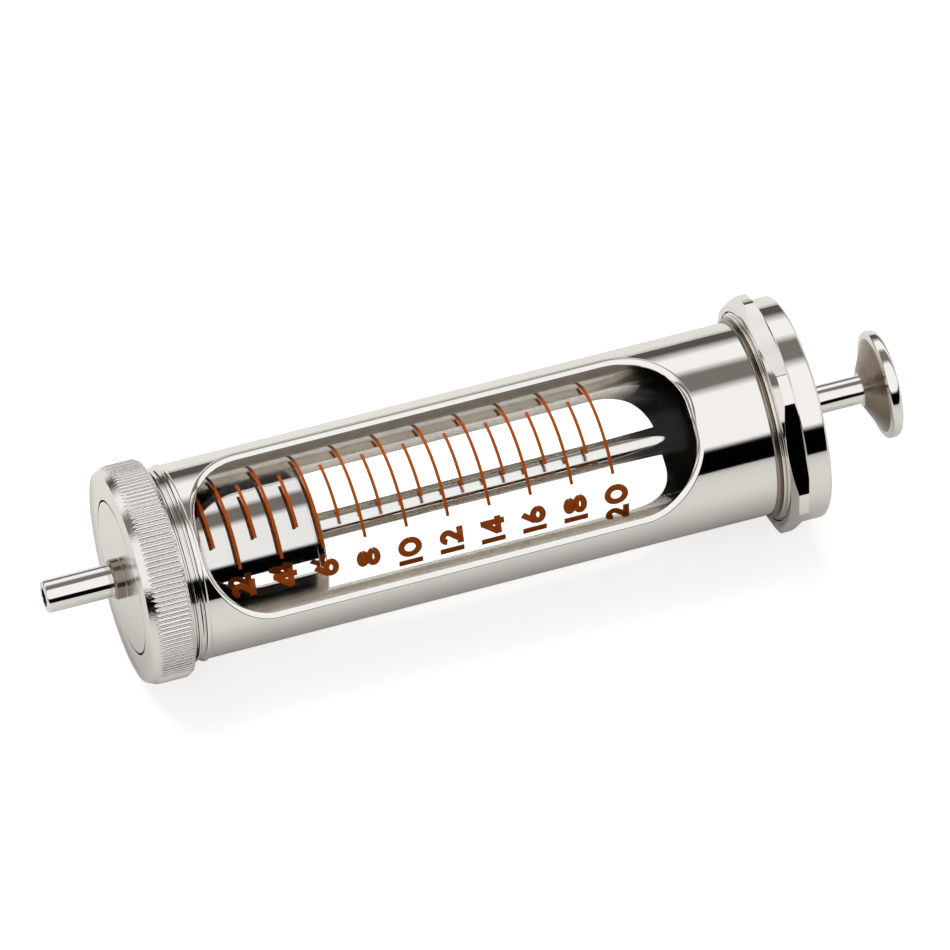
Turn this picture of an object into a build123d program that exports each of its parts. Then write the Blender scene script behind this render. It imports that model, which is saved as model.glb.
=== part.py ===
from build123d import *
import os
from math import cos, hypot, pi, radians, sin

# Metal-cased glass syringe, lying on one flat of its hexagonal finger flange.
# The origin is on the axis at the nozzle's shoulder, +X runs back towards the thumb button
# and +Z is up.  Sizes are in millimetres.

os.makedirs("parts", exist_ok=True)

# Scale and glass
capacity_ml = 20
glass_bore = 19.6
glass_wall = 1.9
glass_bevel = 0.4
zero_offset = 4.7            # zero line, from the front end of the glass
glass_tail = 0.6             # glass left behind the piston when it is drawn right out
line_width = 0.5             # enamel lines of the scale
line_height = 0.06
long_line = (-86.0, 16.0)    # where a line starts and ends, in degrees from scale_angle
short_line = (-51.5, -3.7)
scale_angle = 128.0          # the way the scale faces, from +Y towards +Z
long_line_every = 2

# Sleeve
sleeve_gap = 2.35            # between glass and sleeve
sleeve_wall = 1.2
window_width = 24.2
window_corner = 8.1
window_bevel = 0.9           # bevelled lip round each window
window_angle = 120.0         # the way the upper window faces, from +Y towards +Z
window_setback = 0.1         # from the front bead to the bevel
rear_land = 10.4             # plain sleeve between the bevels and the rear collar
bead_width = 0.9
bead_height = 0.25
relief_width = 0.8           # groove between the front nut's thread and the bead
relief_depth = 0.45
thread_shown = 2.2           # threaded sleeve left bare between nut and bead
sleeve_setback = 0.35        # the sleeve stops this far short of the nozzle head

# Nozzle and nozzle head
nozzle_diameter = 5.2
nozzle_bore = 3.0
nozzle_length = 10.7
nozzle_tip_round = 0.6
nozzle_seat_step = 0.2       # the tube is turned down where it sits in the head
collar_diameter = 6.3
collar_length = 1.65
collar_edge = 0.25
plate_diameter = 24.0
head_shoulder = 1.8          # thickness of the shoulder that the nut pulls back
spigot_clearance = 0.15
piston_rest_gap = 0.3        # liquid left in front of the piston at zero
front_gasket_thickness = 1.25

# Knurled front nut
nut_length = 6.7
nut_wall = 1.82
nut_lip = 1.8
nut_lip_gap = 0.2            # the dark line round the nozzle plate
nut_front_bevel = (1.1, 0.5)
nut_rear_bevel = (0.4, 0.3)
knurl_pitch = 0.8
knurl_depth = 0.35

# Piston, rod and button
piston_length = 20.5
piston_wall = 1.5
piston_front = 3.0
piston_edge = 0.3
piston_cap_thickness = 1.3
piston_boss_diameter = 8.0
piston_boss_length = 6.0
rod_diameter = 4.5
rod_thread_diameter = 3.6
rod_shown = 10.5             # bare rod between end cap and button, pushed right in
button_diameter = 17.0
button_height = 4.5
button_rim = 1.0             # radius of its rounded rim
button_neck_diameter = 5.4
button_tenon_diameter = 3.0
button_tenon_length = 2.4

# Rear end
rear_gasket_thickness = 1.2
rear_gasket_skirt = 2.4
washer_thickness = 0.8
cap_spigot_length = 5.9
cap_spigot_wall = 1.7
cap_boss_length = 3.0
cap_boss_diameter = 15.0
cap_inset = 0.15             # end cap's rim, inside the flange's flats
cap_thickness = 3.9
cap_edge = 0.4
collar_step = 1.2            # rear collar's radial height above the sleeve
collar_shown = 1.4           # its beaded part in front of the flange
flange_rim = 1.25            # from the collar out to the middle of a flat
flange_corner = 1.55         # how far the turned corners stand out past the flats
flange_thickness = 2.8
flange_groove = (0.5, 0.2)   # depth and width of the dark line round the collar
flange_bevel = 0.8
flange_face_inset = 0.15     # flat face, inside the flats
cap_seam = 0.1               # between flange and end cap
bush_diameter = 9.0
bush_head_diameter = 13.0
bush_head_thickness = 1.2
bush_nose_diameter = 8.0
packing_thickness = 1.4
piston_stop_gap = 0.4

# Clearances
running = 0.05               # piston in glass, rod in bush
thread_clearance = 0.08
seat_clearance = 0.03        # pieces soldered or pressed together

# Radii worked out from the sizes above
bore_r = glass_bore / 2
glass_r = bore_r + glass_wall
sleeve_bore_r = glass_r + sleeve_gap
sleeve_r = sleeve_bore_r + sleeve_wall
nut_bore_r = sleeve_r + thread_clearance
nut_r = nut_bore_r + nut_wall
plate_r = plate_diameter / 2
rod_r = rod_diameter / 2
collar_r = sleeve_r + collar_step
flat_r = collar_r + flange_rim
flange_corner_r = flat_r + flange_corner
cap_r = flat_r - cap_inset
cap_spigot_r = sleeve_bore_r - thread_clearance
piston_r = bore_r - running
spigot_r = bore_r - spigot_clearance

# Places along the axis
ml_length = 1000 / (pi * bore_r**2)
stroke = capacity_ml * ml_length
face_x = collar_length
lip_x = face_x + nut_lip
head_rear_x = lip_x + head_shoulder
glass_front_x = head_rear_x + front_gasket_thickness
zero_x = glass_front_x + zero_offset
spigot_x = zero_x - piston_rest_gap
nut_rear_x = face_x + nut_length
bead_x = nut_rear_x + thread_shown
bead_end_x = bead_x + bead_width
sleeve_front_x = head_rear_x + sleeve_setback
piston_rear_x = zero_x + piston_length
stop_x = piston_rear_x + stroke + piston_stop_gap
glass_rear_x = piston_rear_x + stroke + glass_tail
washer_x = glass_rear_x + rear_gasket_thickness
cap_spigot_x = washer_x + washer_thickness
cap_front_x = cap_spigot_x + cap_spigot_length
cap_rear_x = cap_front_x + cap_thickness
flange_rear_x = cap_front_x - cap_seam
flange_front_x = flange_rear_x - flange_thickness
sleeve_rear_x = flange_rear_x - cap_seam
collar_front_x = flange_front_x - collar_shown
window_front_x = bead_end_x + window_setback + window_bevel
window_rear_x = collar_front_x - rear_land - window_bevel
cap_boss_x = cap_front_x - cap_boss_length
button_x = cap_rear_x + rod_shown
button_rear_x = button_x + button_height


def half_section(*points):
    """Closed face in the XY plane from (x, radius) corners, ready to be turned about X."""
    with BuildSketch(Plane.XY) as section:
        with BuildLine():
            Polyline(*points, close=True)
        make_face()
    return section.sketch


def ring(x_front, x_rear, r_inner, r_outer):
    """Half-section of a plain ring."""
    return half_section((x_front, r_inner), (x_rear, r_inner), (x_rear, r_outer), (x_front, r_outer))


def circles_at(part, x, radius):
    """The circular edges of a turned part at one place and radius."""
    def is_there(edge):
        return abs(edge.arc_center.X - x) < 0.01 and abs(edge.radius - radius) < 0.01
    return part.edges().filter_by(GeomType.CIRCLE).filter_by(is_there)


# Nozzle tube: turned down behind the collar's face and soldered through the nozzle head
tube_inner_r = nozzle_diameter / 2 - nozzle_seat_step
with BuildPart() as nozzle_tube:
    revolve(
        half_section(
            (-nozzle_length, nozzle_bore / 2),
            (-nozzle_length, nozzle_diameter / 2),
            (0, nozzle_diameter / 2),
            (0, tube_inner_r),
            (spigot_x, tube_inner_r),
            (spigot_x, nozzle_bore / 2),
        ),
        axis=Axis.X,
    )
    fillet(circles_at(nozzle_tube, -nozzle_length, nozzle_diameter / 2), nozzle_tip_round)
nozzle_tube.part.label = "nozzle_tube"
export_step(nozzle_tube.part, "parts/nozzle_tube.step")

# Nozzle head: collar, polished plate, clamped shoulder and the spigot that fills the glass to zero
tube_seat_r = tube_inner_r + seat_clearance
shoulder_r = nut_bore_r - 2 * nut_lip_gap
with BuildPart() as nozzle_head:
    revolve(
        half_section(
            (0, tube_seat_r),
            (0, collar_diameter / 2),
            (face_x, collar_diameter / 2),
            (face_x, plate_r),
            (lip_x, plate_r),
            (lip_x, shoulder_r),
            (head_rear_x, shoulder_r),
            (head_rear_x, spigot_r),
            (spigot_x, spigot_r),
            (spigot_x, tube_seat_r),
        ),
        axis=Axis.X,
    )
    chamfer(circles_at(nozzle_head, 0, collar_diameter / 2), collar_edge)
nozzle_head.part.label = "nozzle_head"
export_step(nozzle_head.part, "parts/nozzle_head.step")

# Front gasket: a flat fibre ring between the head's shoulder and the glass
with BuildPart() as front_gasket:
    revolve(ring(head_rear_x, glass_front_x, spigot_r + running, glass_r), axis=Axis.X)
front_gasket.part.label = "front_gasket"
export_step(front_gasket.part, "parts/front_gasket.step")

# Front nut: knurled ring with a lip that draws the nozzle head back
bevel_x = face_x + nut_front_bevel[0]
rear_bevel_x = nut_rear_x - nut_rear_bevel[0]
rim_r = nut_r - knurl_depth / 2
knurl_root_r = nut_r - knurl_depth
tooth_count = round(2 * pi * nut_r / knurl_pitch)
with BuildPart() as front_nut:
    revolve(
        half_section(
            (face_x, plate_r + nut_lip_gap),
            (lip_x, plate_r + nut_lip_gap),
            (lip_x, nut_bore_r),
            (nut_rear_x, nut_bore_r),
            (nut_rear_x, rim_r - nut_rear_bevel[1]),
            (rear_bevel_x, rim_r),
            (rear_bevel_x, knurl_root_r),
            (bevel_x, knurl_root_r),
            (bevel_x, rim_r),
            (face_x, rim_r - nut_front_bevel[1]),
        ),
        axis=Axis.X,
    )
    with BuildSketch(Plane.YZ.offset(bevel_x)) as knurl:
        with BuildLine():
            Polyline(
                *[
                    (radius * cos(angle), radius * sin(angle))
                    for tooth in range(tooth_count)
                    for radius, angle in (
                        (nut_r, 2 * pi * tooth / tooth_count),
                        (knurl_root_r, 2 * pi * (tooth + 0.5) / tooth_count),
                    )
                ],
                close=True,
            )
        make_face()
        Circle(nut_bore_r + nut_wall / 2, mode=Mode.SUBTRACT)
    extrude(amount=rear_bevel_x - bevel_x)
front_nut.part.label = "front_nut"
export_step(front_nut.part, "parts/front_nut.step")

# Sleeve: a turned tube with two opposite windows; the front nut's thread ends in the relief groove
window_plane = Plane(
    origin=((window_front_x + window_rear_x) / 2, 0, 0),
    x_dir=(1, 0, 0),
    z_dir=(0, cos(radians(window_angle)), sin(radians(window_angle))),
)


def is_window_edge(edge):
    """True for an edge of a window on the sleeve's outer face."""
    inside = all(window_front_x - 0.01 < (edge @ t).X < window_rear_x + 0.01 for t in (0, 0.5, 1))
    return inside and all(abs(hypot((edge @ t).Y, (edge @ t).Z) - sleeve_r) < 0.01 for t in (0, 0.5, 1))


bead_bevel = bead_width / 3
with BuildPart() as barrel_sleeve:
    revolve(
        half_section(
            (sleeve_front_x, sleeve_bore_r),
            (sleeve_front_x, sleeve_r),
            (bead_x - relief_width, sleeve_r),
            (bead_x - relief_width, sleeve_r - relief_depth),
            (bead_x, sleeve_r - relief_depth),
            (bead_x, sleeve_r),
            (sleeve_rear_x, sleeve_r),
            (sleeve_rear_x, sleeve_bore_r),
        ),
        axis=Axis.X,
    )
    with BuildSketch(window_plane):
        RectangleRounded(window_rear_x - window_front_x, window_width, window_corner)
    extrude(amount=2 * sleeve_r, both=True, mode=Mode.SUBTRACT)
    chamfer(barrel_sleeve.edges().filter_by(is_window_edge), window_bevel)
    revolve(
        half_section(
            (bead_x, sleeve_r - bead_height),
            (bead_x, sleeve_r),
            (bead_x + bead_bevel, sleeve_r + bead_height),
            (bead_end_x - bead_bevel, sleeve_r + bead_height),
            (bead_end_x, sleeve_r),
            (bead_end_x, sleeve_r - bead_height),
        ),
        axis=Axis.X,
    )
barrel_sleeve.part.label = "barrel_sleeve"
export_step(barrel_sleeve.part, "parts/barrel_sleeve.step")

# Glass tube with ground and bevelled ends
with BuildPart() as glass_tube:
    revolve(ring(glass_front_x, glass_rear_x, bore_r, glass_r), axis=Axis.X)
    chamfer(circles_at(glass_tube, glass_front_x, glass_r), glass_bevel)
    chamfer(circles_at(glass_tube, glass_rear_x, glass_r), glass_bevel)
glass_tube.part.label = "glass_tube"
export_step(glass_tube.part, "parts/glass_tube.step")

# Scale: thin enamel arcs on the glass, one for each millilitre and longer on the even ones
with BuildPart() as scale_lines:
    for mark in range(1, capacity_ml + 1):
        start, end = short_line if mark % long_line_every else long_line
        turned_start = Plane.XY.rotated((scale_angle + start, 0, 0))
        with BuildSketch(turned_start):
            with Locations((zero_x + mark * ml_length, glass_r + line_height / 2)):
                Rectangle(line_width, line_height)
        revolve(axis=Axis.X, revolution_arc=end - start)
scale_lines.part.label = "scale_lines"
export_step(scale_lines.part, "parts/scale_lines.step")

# Rear gasket: a rubber cup that holds the rear end of the glass in the middle of the sleeve
gasket_lip_r = bore_r + glass_wall / 4
gasket_outer_r = sleeve_bore_r - running
with BuildPart() as rear_gasket:
    revolve(
        half_section(
            (glass_rear_x - rear_gasket_skirt, glass_r + seat_clearance),
            (glass_rear_x, glass_r + seat_clearance),
            (glass_rear_x, gasket_lip_r),
            (washer_x, gasket_lip_r),
            (washer_x, gasket_outer_r),
            (glass_rear_x - rear_gasket_skirt, gasket_outer_r),
        ),
        axis=Axis.X,
    )
rear_gasket.part.label = "rear_gasket"
export_step(rear_gasket.part, "parts/rear_gasket.step")

# Thrust washer: lets the end cap turn without dragging the gasket
with BuildPart() as thrust_washer:
    revolve(ring(washer_x, cap_spigot_x, gasket_lip_r, gasket_outer_r), axis=Axis.X)
thrust_washer.part.label = "thrust_washer"
export_step(thrust_washer.part, "parts/thrust_washer.step")

# Rear collar: ridged ring soldered on the sleeve, which carries the finger flange
ridge_width = collar_shown / 2
ridge_x = collar_front_x + ridge_width
first_ridge_r = sleeve_r + collar_step / 3
second_ridge_r = sleeve_r + collar_step * 2 / 3
ridge_bevel = ridge_width / 3
with BuildPart() as rear_collar:
    revolve(
        half_section(
            (collar_front_x, sleeve_r + seat_clearance),
            (collar_front_x, first_ridge_r - ridge_bevel),
            (collar_front_x + ridge_bevel, first_ridge_r),
            (ridge_x - ridge_bevel, first_ridge_r),
            (ridge_x, first_ridge_r - ridge_bevel),
            (ridge_x + ridge_bevel, second_ridge_r),
            (flange_front_x - ridge_bevel, second_ridge_r),
            (flange_front_x, second_ridge_r - ridge_bevel),
            (flange_front_x, collar_r),
            (sleeve_rear_x, collar_r),
            (sleeve_rear_x, sleeve_r + seat_clearance),
        ),
        axis=Axis.X,
    )
rear_collar.part.label = "rear_collar"
export_step(rear_collar.part, "parts/rear_collar.step")

# Finger flange: a hexagon with turned corners and bevelled faces, so that the syringe can't roll
groove_r = collar_r + flange_groove[1]
flange_face_r = flat_r - flange_face_inset
with BuildPart() as finger_flange:
    with BuildSketch(Plane.YZ.offset(flange_front_x)):
        RegularPolygon(flat_r, 6, major_radius=False)
    extrude(amount=flange_thickness)
    revolve(
        half_section(
            (flange_front_x, groove_r),
            (flange_front_x, flange_face_r),
            (flange_front_x + flange_bevel, flange_corner_r),
            (flange_rear_x - flange_bevel / 2, flange_corner_r),
            (flange_rear_x, (flange_corner_r + flange_face_r) / 2),
            (flange_rear_x, collar_r + seat_clearance),
            (flange_front_x + flange_groove[0], collar_r + seat_clearance),
            (flange_front_x + flange_groove[0], groove_r),
        ),
        axis=Axis.X,
        mode=Mode.INTERSECT,
    )
finger_flange.part.label = "finger_flange"
export_step(finger_flange.part, "parts/finger_flange.step")

# End cap: round disc that screws into the sleeve and carries the rod's bush
packing_x = cap_front_x
pocket_x = packing_x + packing_thickness
rod_hole_r = rod_r + 4 * running
bush_r = bush_diameter / 2
with BuildPart() as end_cap:
    revolve(
        half_section(
            (cap_spigot_x, cap_spigot_r),
            (cap_front_x, cap_spigot_r),
            (cap_front_x, cap_r),
            (cap_rear_x, cap_r),
            (cap_rear_x, rod_hole_r),
            (pocket_x, rod_hole_r),
            (pocket_x, bush_r + seat_clearance),
            (cap_boss_x, bush_r + seat_clearance),
            (cap_boss_x, cap_boss_diameter / 2),
            (cap_front_x, cap_boss_diameter / 2),
            (cap_front_x, cap_spigot_r - cap_spigot_wall),
            (cap_spigot_x, cap_spigot_r - cap_spigot_wall),
        ),
        axis=Axis.X,
    )
    chamfer(circles_at(end_cap, cap_rear_x, cap_r), cap_edge)
    chamfer(circles_at(end_cap, cap_front_x, cap_r), cap_edge / 2)
end_cap.part.label = "end_cap"
export_step(end_cap.part, "parts/end_cap.step")

# Rod bush: guides the rod, and its nose stops the piston
with BuildPart() as rod_bush:
    revolve(
        half_section(
            (stop_x, rod_r + running),
            (stop_x, bush_nose_diameter / 2),
            (cap_boss_x - bush_head_thickness, bush_nose_diameter / 2),
            (cap_boss_x - bush_head_thickness, bush_head_diameter / 2),
            (cap_boss_x, bush_head_diameter / 2),
            (cap_boss_x, bush_r),
            (packing_x, bush_r),
            (packing_x, rod_r + running),
        ),
        axis=Axis.X,
    )
rod_bush.part.label = "rod_bush"
export_step(rod_bush.part, "parts/rod_bush.step")

# Rod packing: soft ring between bush and end cap
with BuildPart() as rod_packing:
    revolve(ring(packing_x, pocket_x, rod_r + running, bush_r), axis=Axis.X)
rod_packing.part.label = "rod_packing"
export_step(rod_packing.part, "parts/rod_packing.step")

# Piston shell: hollow ground cylinder with a threaded boss behind its front wall
rod_seat_r = rod_thread_diameter / 2 + seat_clearance
hollow_r = piston_r - piston_wall
boss_x = zero_x + piston_front
boss_end_x = boss_x + piston_boss_length
cap_seat_x = piston_rear_x - piston_cap_thickness
with BuildPart() as piston_shell:
    revolve(
        half_section(
            (zero_x, 0),
            (zero_x, piston_r),
            (cap_seat_x, piston_r),
            (cap_seat_x, hollow_r),
            (boss_x, hollow_r),
            (boss_x, piston_boss_diameter / 2),
            (boss_end_x, piston_boss_diameter / 2),
            (boss_end_x, rod_seat_r),
            (boss_x, rod_seat_r),
            (boss_x, 0),
        ),
        axis=Axis.X,
    )
    chamfer(circles_at(piston_shell, zero_x, piston_r), piston_edge)
piston_shell.part.label = "piston_shell"
export_step(piston_shell.part, "parts/piston_shell.step")

# Piston cap: disc that closes the piston's rear end, with a step that centres it
cap_step = piston_cap_thickness
with BuildPart() as piston_cap:
    revolve(
        half_section(
            (cap_seat_x, piston_r),
            (piston_rear_x, piston_r),
            (piston_rear_x, rod_r + running),
            (cap_seat_x - cap_step, rod_r + running),
            (cap_seat_x - cap_step, hollow_r - seat_clearance),
            (cap_seat_x, hollow_r - seat_clearance),
        ),
        axis=Axis.X,
    )
    chamfer(circles_at(piston_cap, piston_rear_x, piston_r), piston_edge)
piston_cap.part.label = "piston_cap"
export_step(piston_cap.part, "parts/piston_cap.step")

# Piston rod: screwed into the piston's boss in front and into the button behind
rod_end_x = boss_x + seat_clearance
tenon_r = button_tenon_diameter / 2
tenon_end_x = button_x + button_tenon_length
with BuildPart() as piston_rod:
    revolve(
        half_section(
            (rod_end_x, 0),
            (rod_end_x, rod_thread_diameter / 2),
            (boss_end_x + running, rod_thread_diameter / 2),
            (boss_end_x + running, rod_r),
            (button_x, rod_r),
            (button_x, tenon_r),
            (tenon_end_x, tenon_r),
            (tenon_end_x, 0),
        ),
        axis=Axis.X,
    )
piston_rod.part.label = "piston_rod"
export_step(piston_rod.part, "parts/piston_rod.step")

# Thumb button: mushroom with a coned underside and a rounded rim
button_r = button_diameter / 2
rim_x = button_rear_x - 2 * button_rim
with BuildPart() as thumb_button:
    with BuildSketch(Plane.XY):
        with BuildLine():
            Polyline(
                (button_rear_x, button_r - button_rim),
                (button_rear_x, 0),
                (tenon_end_x + seat_clearance, 0),
                (tenon_end_x + seat_clearance, tenon_r + seat_clearance),
                (button_x, tenon_r + seat_clearance),
                (button_x, button_neck_diameter / 2),
                (rim_x, button_r - button_rim),
            )
            ThreePointArc(
                (rim_x, button_r - button_rim),
                (rim_x + button_rim, button_r),
                (button_rear_x, button_r - button_rim),
            )
        make_face()
    revolve(axis=Axis.X)
thumb_button.part.label = "thumb_button"
export_step(thumb_button.part, "parts/thumb_button.step")
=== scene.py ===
"""Finishes, fine forms and plain stage for a metal-cased glass syringe."""

import math
import random

import bpy
from bpy.props import FloatProperty, FloatVectorProperty, IntProperty, PointerProperty
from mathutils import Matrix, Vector


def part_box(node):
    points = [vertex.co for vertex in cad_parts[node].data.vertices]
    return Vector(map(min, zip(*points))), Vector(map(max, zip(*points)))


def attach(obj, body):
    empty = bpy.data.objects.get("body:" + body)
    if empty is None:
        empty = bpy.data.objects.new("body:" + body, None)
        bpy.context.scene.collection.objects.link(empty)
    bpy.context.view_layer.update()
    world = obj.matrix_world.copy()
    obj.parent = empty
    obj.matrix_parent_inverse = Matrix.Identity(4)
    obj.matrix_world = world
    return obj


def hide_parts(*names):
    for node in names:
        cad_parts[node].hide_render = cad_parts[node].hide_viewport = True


bl_info = {
    "name": "Metal-cased glass syringe",
    "version": (1, 0, 0),
    "blender": (4, 5, 0),
    "location": "View3D > Sidebar > Syringe",
    "description": "Dresses the packed syringe with its finishes and sets it on a plain stage",
    "category": "Add Mesh",
}

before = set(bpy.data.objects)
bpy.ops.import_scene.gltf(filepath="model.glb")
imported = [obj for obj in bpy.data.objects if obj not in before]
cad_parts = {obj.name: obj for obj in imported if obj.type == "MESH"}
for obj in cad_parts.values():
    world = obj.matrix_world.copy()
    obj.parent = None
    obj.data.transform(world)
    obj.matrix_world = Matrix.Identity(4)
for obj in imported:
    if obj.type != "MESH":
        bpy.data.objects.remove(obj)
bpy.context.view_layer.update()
MM = 0.001
FINE_EDGE = 0.05 * MM


def reach(node):
    """Front end, rear end and radius of a node that was turned about the X axis."""
    low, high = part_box(node)
    return low.x, high.x, high.z


TUBE_FRONT, HEAD_REAR, TUBE_R = reach("nozzle_tube")
NUT_FRONT, NUT_REAR, NUT_R = reach("front_nut")
SLEEVE_FRONT, SLEEVE_REAR, BEAD_R = reach("barrel_sleeve")
GLASS_FRONT, GLASS_REAR, GLASS_R = reach("glass_tube")
COLLAR_FRONT, COLLAR_REAR, COLLAR_R = reach("rear_collar")
FLANGE_FRONT, FLANGE_REAR, FLANGE_FLAT_R = reach("finger_flange")
FLANGE_CORNER_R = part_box("finger_flange")[1].y
CAP_FRONT, CAP_REAR, CAP_R = reach("end_cap")
PISTON_FRONT, PISTON_SEAT, PISTON_R = reach("piston_shell")
PISTON_REAR = reach("piston_cap")[1]
ROD_FRONT, ROD_REAR, ROD_R = reach("piston_rod")
BUTTON_FRONT, BUTTON_REAR, BUTTON_R = reach("thumb_button")


# Settings that a user can change


class SYRINGE_PG_sizes(bpy.types.PropertyGroup):
    """Sizes of the fine forms."""

    knurl_teeth: IntProperty(
        name="Knurl teeth", description="Teeth round the front nut", default=135, min=12)
    knurl_depth: FloatProperty(
        name="Knurl depth", description="Depth of the nut's teeth", default=0.35 * MM,
        unit="LENGTH")
    thread_pitch: FloatProperty(
        name="Thread pitch", description="Pitch of the sleeve's thread", default=1.0 * MM,
        unit="LENGTH")
    thread_depth: FloatProperty(
        name="Thread depth", description="Depth of the sleeve's thread", default=0.4 * MM,
        unit="LENGTH")
    thread_shown: FloatProperty(
        name="Bare thread", description="Thread between nut and bead", default=2.2 * MM,
        unit="LENGTH")
    bead_width: FloatProperty(
        name="Bead width", description="Rounded bead behind the thread", default=0.9 * MM,
        unit="LENGTH")
    bead_height: FloatProperty(
        name="Bead height", description="Bead's height on the sleeve", default=0.25 * MM,
        unit="LENGTH")
    window_width: FloatProperty(
        name="Window width", description="Width of a window, inside its lip", default=24.2 * MM,
        unit="LENGTH")
    window_corner: FloatProperty(
        name="Window corner", description="Corner radius, inside the lip", default=9.8 * MM,
        unit="LENGTH")
    window_angle: FloatProperty(
        name="Window angle", description="The way the upper window faces, from +Y towards +Z",
        default=math.radians(120), subtype="ANGLE")
    lip_run: FloatProperty(
        name="Lip run", description="How far a window's lip reaches along the sleeve",
        default=0.9 * MM, unit="LENGTH")
    rear_land: FloatProperty(
        name="Rear land", description="Plain sleeve between windows and collar", default=10.4 * MM,
        unit="LENGTH")
    numeral_height: FloatProperty(
        name="Numeral height", description="Height of the scale's numerals", default=3.8 * MM,
        unit="LENGTH")
    numeral_stroke: FloatProperty(
        name="Numeral stroke", description="Width of a numeral's strokes", default=1.0 * MM,
        unit="LENGTH")
    enamel: FloatProperty(
        name="Enamel thickness", description="How far the enamel stands on the glass",
        default=0.06 * MM, unit="LENGTH")


class SYRINGE_PG_finishes(bpy.types.PropertyGroup):
    """Colours and finishes."""

    nickel: FloatVectorProperty(
        name="Nickel", description="Colour of the polished nickel", subtype="COLOR", size=3,
        default=(0.90, 0.88, 0.85))
    nickel_roughness: FloatProperty(
        name="Nickel roughness", description="Roughness of the polished nickel", default=0.05)
    piston: FloatVectorProperty(
        name="Piston", description="Colour of the ground piston", subtype="COLOR", size=3,
        default=(0.84, 0.82, 0.80))
    enamel: FloatVectorProperty(
        name="Enamel", description="Colour of the scale", subtype="COLOR", size=3,
        default=(0.46, 0.085, 0.004))
    glass_ior: FloatProperty(
        name="Glass index", description="Index of refraction of the glass", default=1.5)


class SYRINGE_PG_stage(bpy.types.PropertyGroup):
    """Camera, lamp and even fill."""

    azimuth: FloatProperty(
        name="Azimuth", description="Camera's angle round the syringe", default=math.radians(-18.3),
        subtype="ANGLE")
    elevation: FloatProperty(
        name="Elevation", description="Camera's angle above the floor", default=math.radians(50.4),
        subtype="ANGLE")
    distance: FloatProperty(
        name="Distance", description="Camera's distance from its target", default=2.0,
        unit="LENGTH")
    field: FloatProperty(
        name="Field", description="Width that the picture covers at the target", default=0.1456,
        unit="LENGTH")
    target: FloatVectorProperty(
        name="Target", description="Point in the middle of the picture", size=3, subtype="XYZ",
        default=(0.0589, 0.0014, 0.0012))
    lamp: FloatProperty(
        name="Lamp power", description="Power of the soft lamp overhead, in watts", default=2.2)
    fill: FloatProperty(
        name="Fill", description="Strength of the even light from all sides", default=0.35)


# Meshes with exact normals


class Shell:
    """Points with their normals, shared where they meet, and the faces between them."""

    def __init__(self):
        self.index = {}
        self.points = []
        self.normals = []
        self.faces = []

    def point(self, place, normal):
        """Number of the point at a place, made if it is new."""
        key = tuple(round(c * 2e7) for c in place)
        if key not in self.index:
            self.index[key] = len(self.points)
            self.points.append(tuple(place))
            self.normals.append(tuple(normal))
        return self.index[key]

    def face(self, *corners):
        """A face, unless its corners fall together."""
        kept = [c for n, c in enumerate(corners) if c != corners[n - 1]]
        if len(set(kept)) > 2:
            self.faces.append(kept)

    def sheet(self, rows, wrap_columns=False, wrap_rows=False):
        """Faces between rows of points, with the normal towards (next row) x (next column)."""
        row_pairs = list(zip(rows, rows[1:])) + ([(rows[-1], rows[0])] if wrap_rows else [])
        for here, beyond in row_pairs:
            columns = len(here)
            for j in range(columns if wrap_columns else columns - 1):
                k = (j + 1) % columns
                self.face(here[j], beyond[j], beyond[k], here[k])

    def piece(self, name, material):
        """Object made from the points and faces."""
        mesh = bpy.data.meshes.new(name)
        mesh.from_pydata(self.points, [], self.faces)
        mesh.polygons.foreach_set("use_smooth", [True] * len(mesh.polygons))
        mesh.normals_split_custom_set_from_vertices(self.normals)
        mesh.materials.append(material)
        made = bpy.data.objects.new(name, mesh)
        bpy.context.scene.collection.objects.link(made)
        return made


def about_axis(x, radius, angle):
    """Point at a place, radius and angle about the X axis."""
    return Vector((x, radius * math.cos(angle), radius * math.sin(angle)))


def softened(corners, closed=True, arc_steps=6):
    """Points and outward normals along a turned section, from (x, radius, edge radius) corners.

    A corner without an edge radius gets the fine one.
    """
    area = sum(a[0] * b[1] - b[0] * a[1] for a, b in zip(corners, corners[1:] + corners[:1]))
    if area < 0:
        corners = corners[::-1]
    last = len(corners) - 1
    section = []
    for i, corner in enumerate(corners):
        here = Vector(corner[:2])
        edge = corner[2] if len(corner) > 2 else FINE_EDGE
        before = here - Vector(corners[i - 1][:2])
        after = Vector(corners[(i + 1) % len(corners)][:2]) - here
        if not closed and i in (0, last):
            along = (after if i == 0 else before).normalized()
            section.append((here, Vector((along.y, -along.x))))
            continue
        come, go = before.normalized(), after.normalized()
        turn = math.atan2(come.x * go.y - come.y * go.x, come.dot(go))
        back = min(edge * abs(math.tan(turn / 2)), 0.45 * before.length, 0.45 * after.length)
        first = Vector((come.y, -come.x))
        side = 1 if turn > 0 else -1
        round_radius = back / max(abs(math.tan(turn / 2)), 1e-9)
        centre = here - come * back - side * round_radius * first
        steps = max(1, math.ceil(arc_steps * abs(turn) / (math.pi / 2)))
        for n in range(steps + 1):
            angle = turn * n / steps
            normal = Vector((
                first.x * math.cos(angle) - first.y * math.sin(angle),
                first.x * math.sin(angle) + first.y * math.cos(angle),
            ))
            section.append((centre + side * round_radius * normal, normal))
    return section


def turned(name, material, corners, closed=True, columns=192, arc_steps=6):
    """Piece turned about the X axis from the corners of its half section, given in metres."""
    shell = Shell()
    rows = []
    for place, normal in softened(corners, closed, arc_steps):
        row = []
        for j in range(columns):
            angle = 2 * math.pi * j / columns
            radius = max(place.y, 0.0)
            row.append(shell.point(
                about_axis(place.x, radius, angle), about_axis(normal.x, normal.y, angle)))
        rows.append(row)
    shell.sheet(rows, wrap_columns=True, wrap_rows=closed)
    return shell.piece(name, material)


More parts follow.
